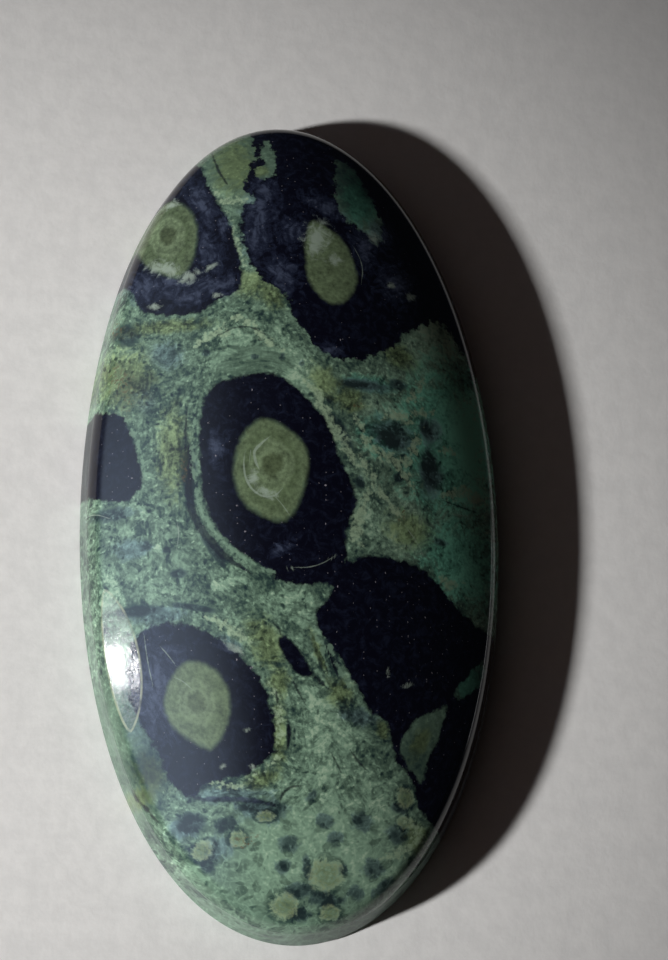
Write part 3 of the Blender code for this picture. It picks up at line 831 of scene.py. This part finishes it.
def marking_group():
    """All colours and masks of the stone, read by the material of its dome, its girdle and its back."""
    made = (("Colour", "Color"), ("Dark", "Float"), ("Grain", "Float"))
    group, entry, leave = new_group("kambaba markings", (("Place", "Vector"),), made)
    recipe = Recipe(group)
    # Depth slides the pattern outward, so that a flat noise also varies down the girdle.
    parts = recipe.node("ShaderNodeSeparateXYZ", {0: entry["Place"]}).outputs
    flat = recipe.node("ShaderNodeCombineXYZ", {"X": parts["X"], "Y": parts["Y"]}).outputs[0]
    depth = recipe.minus(THICKNESS / MM, parts["Z"])
    slide = recipe.times(depth, recipe.fade(recipe.vector("LENGTH", flat), 0.0, 10.0, 0.0, 0.9))
    place = recipe.vector("ADD", flat, recipe.vector("SCALE", recipe.vector("NORMALIZE", flat), slide))
    grain = recipe.noise(place, 4.6, 3.0, 0.6)
    # The flow is fine across the edge of the nearest dark shape and long beside it.
    stream = recipe.times(recipe.field("stream"), 4.0)
    beside = [recipe.times(parts[axis], 0.7) for axis in "XY"]
    flow_place = recipe.node("ShaderNodeCombineXYZ", enumerate((stream, *beside))).outputs[0]
    flow = recipe.noise(flow_place, 1.0, 3.0, 0.6, flat=False)
    colour, tone = ground_colour(recipe, place, flow, grain)

    beads = recipe.cells(recipe.swirled(place, 1.6, 0.6), 2.3)[0]
    lumpy = recipe.spread(recipe.fade(beads, 0.1, 0.8, 0.12, -0.20), grain, 0.5)
    coral = line_mask(recipe, "coral", lumpy, 0.14)
    coral = recipe.times(coral, recipe.fade(grain, 0.35, 0.62, 0.4, 0.8))
    colour = recipe.blend(coral, colour, CORAL)

    # The dark orbs: an edge that frays, navy mottling, and slate-blue clouds that also carry some painted
    # reflection haze
    coarse = recipe.minus(recipe.noise(place, 1.9, 3.0, 0.6), 0.5)
    fray = recipe.times(recipe.spread(coarse, grain, 0.4), recipe.field("dark_ragged"))
    edge = recipe.plus(recipe.plus(recipe.field("dark_inside"), fray, 0.9), coarse, 0.2)
    dark = recipe.fade(edge, -0.09, 0.10)
    thread = line_mask(recipe, "dark_line", recipe.times(coarse, 0.25), 0.06)
    dark = recipe.math("MAXIMUM", dark, recipe.times(thread, 0.8))
    slate_noise = recipe.noise(recipe.swirled(place, 1.0, 0.8), 2.2, 4.0, 0.7)
    slate = recipe.spread(recipe.spread(recipe.field("slate"), slate_noise, 2.2), flow, 1.7)
    night = recipe.blend(recipe.fade(slate_noise, 0.42, 0.85), BLACK, NAVY)
    night = recipe.blend(recipe.fade(slate, -0.1, 0.35, 0.0, 0.8), night, NAVY)
    night = recipe.blend(recipe.fade(slate, 0.3, 1.3, 0.0, 0.95), night, SLATE_AND_HAZE_TINT)
    dust, chance = recipe.cells(place, 2.6)
    size = recipe.fade(chance, 0.74, 1.0, 0.0, 0.13)
    speck = recipe.fade(recipe.minus(dust, size), 0.0, -0.08, 0.0, 0.35)
    placed = recipe.fade(recipe.field("speck_away"), 0.085, 0.03, 0.0, 0.9)
    night = recipe.blend(recipe.math("MAXIMUM", speck, placed), night, SPECK)
    colour = recipe.blend(dark, colour, night)

    # The eyes over the dark, then frost, bands and hairlines over all
    eye = recipe.fade(recipe.plus(recipe.field("eye_inside"), coarse, 0.20), -0.14, 0.16)
    colour = recipe.blend(eye, colour, eye_colour(recipe, place, grain))
    frost = recipe.spread(recipe.field("frost"), slate_noise, 2.2)
    colour = recipe.blend(recipe.fade(frost, 0.0, 1.0, 0.0, 0.75), colour, FROST)
    band = line_mask(recipe, "pale_line", recipe.times(coarse, 0.8), 0.08)
    colour = recipe.blend(recipe.times(band, 0.6), colour, CELADON)
    hair = line_mask(recipe, "hairline", recipe.times(coarse, 0.06), 0.025)
    colour = recipe.blend(recipe.times(hair, 0.5), colour, FROST)
    for label, value in (("Colour", colour), ("Dark", dark), ("Grain", tone)):
        recipe.feed(leave[label], value)
    return group


def new_material(name):
    """A material, its recipe and its place in millimetres."""
    material = bpy.data.materials.new(name)
    material.use_nodes = True
    recipe = Recipe(material.node_tree)
    place = recipe.node("ShaderNodeTexCoord").outputs["Object"]
    return material, recipe, recipe.vector("MULTIPLY", place, (1 / MM, 1 / MM, 1 / MM))


def stone_material(name, markings_group):
    """A material of the stone, its recipe, its place in millimetres and the markings."""
    material, recipe, place = new_material(name)
    material.node_tree.nodes["Principled BSDF"].inputs["IOR"].default_value = STONE_IOR
    marks = recipe.node("ShaderNodeGroup", node_tree=markings_group)
    recipe.feed(marks.inputs["Place"], place)
    return material, recipe, place, marks.outputs


def dress(material, recipe, colour, roughness, height, strength, relief):
    """Gives a material its colour, its roughness and a fine relief, whose depth is in millimetres."""
    bump = recipe.node("ShaderNodeBump", {"Height": height, "Strength": strength, "Distance": relief * MM})
    shader = material.node_tree.nodes["Principled BSDF"].inputs
    for label, value in (("Base Color", colour), ("Roughness", roughness), ("Normal", bump.outputs[0])):
        recipe.feed(shader[label], value)
    return material


def polished_dome(markings_group):
    """The glassy dome, with faint polishing marks, a softer polish on the green, and a scuffed flat spot
    whose pale colour is partly painted reflection and whose edges carry a painted highlight.
    """
    material, recipe, place, marks = stone_material("polished dome", markings_group)
    spot = recipe.field("flat_spot")
    inside = recipe.fade(spot, -0.02, 0.02)
    rim = recipe.fade(recipe.math("ABSOLUTE", spot), 0.075, 0.025)
    wear_and_glint = recipe.noise(place, 1.2, 5.0, 0.6)
    pits = recipe.noise(place, 7.0, 3.0, 0.7)
    roughness = recipe.plus(recipe.fade(wear_and_glint, 0.3, 0.75, 0.07, 0.15), marks["Dark"], -0.02)
    scuffed = recipe.minus(recipe.fade(pits, 0.3, 0.7, 0.03, 0.065), roughness)
    roughness = recipe.plus(roughness, inside, scuffed)
    height = recipe.plus(recipe.noise(place, 0.8, 1.0), marks["Grain"], 0.3)
    height = recipe.plus(height, recipe.noise(place, 9.0, 1.0), 0.12)
    height = recipe.plus(height, recipe.times(inside, pits), 0.16)
    # The flat spot is less polished, and its pale speckled colour is partly painted reflection of the glow
    # it mirrors
    scuff_and_sheen_mask = recipe.times(inside, recipe.fade(pits, 0.35, 0.72, 0.0, 0.22))
    colour = recipe.blend(scuff_and_sheen_mask, marks["Colour"], SCUFF_AND_SHEEN)
    # Painted highlight: pale lines along the flat spot's edges
    colour = recipe.blend(recipe.times(rim, recipe.fade(wear_and_glint, 0.35, 0.6, 0.15, 0.5)), colour, PAINTED_RIM_HIGHLIGHT)
    return dress(material, recipe, colour, roughness, height, 0.10, 0.02)


def ground_girdle(markings_group):
    """The satin girdle, ground round and round, so that it shows fine level lines."""
    material, recipe, place, marks = stone_material("ground girdle", markings_group)
    lines = recipe.noise(recipe.vector("MULTIPLY", place, (0.35, 0.35, 7.0)), 1.0, 4.0, 0.6, flat=False)
    colour = recipe.blend(recipe.fade(lines, 0.35, 0.75, 0.08, 0.35), marks["Colour"], CHALK)
    return dress(material, recipe, colour, recipe.fade(lines, 0.3, 0.7, 0.36, 0.5), lines, 0.35, 0.05)


def lapped_back(markings_group):
    """The flat back, lapped dull, with straight fine scratches one way."""
    material, recipe, place, marks = stone_material("lapped back", markings_group)
    scratches = recipe.noise(recipe.vector("MULTIPLY", place, (0.3, 9.0, 1.0)), 1.0, 3.0, 0.6)
    colour = recipe.blend(recipe.fade(scratches, 0.4, 0.8, 0.05, 0.25), marks["Colour"], SAGE)
    roughness = recipe.fade(scratches, 0.3, 0.7, 0.38, 0.55)
    return dress(material, recipe, colour, roughness, scratches, 0.25, 0.04)


def build_stone():
    mesh, rim = stone_mesh()
    for name, values in markings(mesh, rim).items():
        mesh.attributes.new(name, "FLOAT", "POINT").data.foreach_set("value", values.astype(np.float32))
    group = marking_group()
    for finish in (polished_dome, ground_girdle, lapped_back):
        mesh.materials.append(finish(group))
    stone = bpy.data.objects.new("jasper_cabochon", mesh)
    bpy.context.scene.collection.objects.link(stone)
    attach(stone, "root")
    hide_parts("cabochon")
    return stone


# The floor, the light and the camera

FLOOR_PALE = (0.90, 0.915, 0.93)
FLOOR_GRAIN = (0.84, 0.855, 0.87)
# The painted shade that the floor's colour turns to, far from its painted pool of light
FLOOR_PAINTED_SHADE = (0.16, 0.16, 0.165)
FLOOR_SIZE = 1.2
FLOOR_DROP = 0.02 * MM
# The floor's colour holds a painted pool of light: palest round here and painted darker with distance, all
# in millimetres
PAINTED_LIGHT_MIDDLE = (-16.0, -4.0, 0.0)
PAINTED_LIGHT_FALLOFF = (10, 70)


def build_floor():
    """A pale floor of fine matt grain, just under the stone, its colour a painted pool of light that
    darkens far from it.
    """
    bpy.ops.mesh.primitive_grid_add(
        x_subdivisions=8, y_subdivisions=8, size=FLOOR_SIZE, location=(0, 0, -FLOOR_DROP)
    )
    floor = bpy.context.object
    floor.name = "pale_floor"
    material, recipe, place = new_material("pale floor")
    grain = recipe.noise(place, 0.9, 5.0, 0.65)
    colour = recipe.blend(recipe.fade(grain, 0.3, 0.7), FLOOR_GRAIN, FLOOR_PALE)
    # Painted light: the colour darkens with distance from one spot, like the edge of a lamp's pool
    away = recipe.vector("DISTANCE", place, PAINTED_LIGHT_MIDDLE)
    colour = recipe.blend(recipe.fade(away, *PAINTED_LIGHT_FALLOFF), colour, FLOOR_PAINTED_SHADE)
    floor.data.materials.append(
        dress(material, recipe, colour, recipe.fade(grain, 0.3, 0.7, 0.85, 0.95), grain, 0.15, 0.1)
    )


# Lights: name, azimuth and elevation in degrees, distance, width and height in metres, and power in watts
LAMP = ("lamp", 201, 23, 0.6, 0.035, 0.035, 6.0)
GLINTS = (
    ("glint", 169.6, 39.0, 0.5, 0.006, 0.002, 0.0062),
    ("glint glow", 169.1, 39.0, 0.5, 0.023, 0.0035, 0.0012),
)
FAR_STRIP = ("far strip", 10, 3, 0.5, 0.17, 0.02, 0.018)

LAMP_WARM = (1.0, 0.97, 0.93)
WHITE = (1.0, 1.0, 1.0)
ROOM_WARM = (1.0, 0.68, 0.52)
ROOM_COOL = (0.62, 0.77, 1.0)
# What the polish mirrors: a glow high on the left, as wide as the cosine of its edge says,
# on a room that brightens from right to left
GLOW_MIDDLE = toward(180, 45)
GLOW_EDGE = 0.67
GLOW_STRENGTH = 2.5
ROOM_STRENGTH = 0.24
DARKEST = 0.02


def softbox(name, azimuth, elevation, distance, width, height, power, colour):
    """A rectangular light that faces the stone."""
    data = bpy.data.lights.new(name, "AREA")
    data.shape = "RECTANGLE"
    data.size, data.size_y = width, height
    data.energy = power
    data.color = colour
    light = bpy.data.objects.new(name, data)
    bpy.context.scene.collection.objects.link(light)
    direction = toward(azimuth, elevation)
    light.location = direction * distance
    light.rotation_euler = direction.to_track_quat("Z", "Y").to_euler()
    return light


def light_scene():
    """One low lamp from the left, its glint on the flat spot, and a dim room."""
    softbox(*LAMP, LAMP_WARM).visible_glossy = False
    for glint in GLINTS:
        light = softbox(*glint, WHITE)
        light.visible_diffuse = False
        light.data.shape = "ELLIPSE"
    softbox(*FAR_STRIP, WHITE).visible_diffuse = False
    world = bpy.data.worlds.new("dim room")
    bpy.context.scene.world = world
    world.use_nodes = True
    recipe = Recipe(world.node_tree)
    direction = recipe.node("ShaderNodeTexCoord").outputs["Generated"]
    across = recipe.node("ShaderNodeSeparateXYZ", {0: direction}).outputs["X"]
    glow = recipe.fade(recipe.vector("DOT_PRODUCT", direction, tuple(GLOW_MIDDLE)), GLOW_EDGE, 1.02)
    mirrored = recipe.plus(DARKEST, recipe.math("POWER", glow, 2.0), GLOW_STRENGTH)
    left = recipe.math("POWER", recipe.fade(across, 0.4, -0.6), 2.0)
    mirrored = recipe.plus(mirrored, left, ROOM_STRENGTH)
    ambient = recipe.fade(across, 0.1, -0.9, 0.003, 0.09)
    glossy = recipe.node("ShaderNodeLightPath").outputs["Is Glossy Ray"]
    strength = recipe.node("ShaderNodeMix", {"Factor": glossy, 2: ambient, 3: mirrored}, data_type="FLOAT")
    background = world.node_tree.nodes["Background"].inputs
    recipe.feed(background["Color"], recipe.blend(glossy, ROOM_WARM, ROOM_COOL))
    recipe.feed(background["Strength"], strength.outputs[0])


# The camera looks down on the stone, from the side of its lower end and a little from its left.
CAMERA_PLACE = Vector((-22.4, -57.7, 150.0)) * MM
CAMERA_AIM = Vector((2.367, 2.501, 0.0)) * MM
CAMERA_ROLL = 0.019
CAMERA_REACH = (10 * MM, 10.0)
SENSOR = 36.0
FOCAL_PIXELS = 3104.9
PICTURE_HEIGHT = 960


def place_camera():
    data = bpy.data.cameras.new("camera")
    data.sensor_width = SENSOR
    data.lens = FOCAL_PIXELS * SENSOR / PICTURE_HEIGHT
    data.clip_start, data.clip_end = CAMERA_REACH
    camera = bpy.data.objects.new("camera", data)
    bpy.context.scene.collection.objects.link(camera)
    forward = (CAMERA_AIM - CAMERA_PLACE).normalized()
    right = forward.cross(Vector((math.sin(CAMERA_ROLL), math.cos(CAMERA_ROLL), 0.0))).normalized()
    turned = Matrix((right, right.cross(forward), -forward)).transposed().to_4x4()
    camera.matrix_world = Matrix.Translation(CAMERA_PLACE) @ turned
    bpy.context.scene.camera = camera


build_stone()
build_floor()
light_scene()
place_camera()
bpy.context.scene.view_settings.view_transform = "Standard"
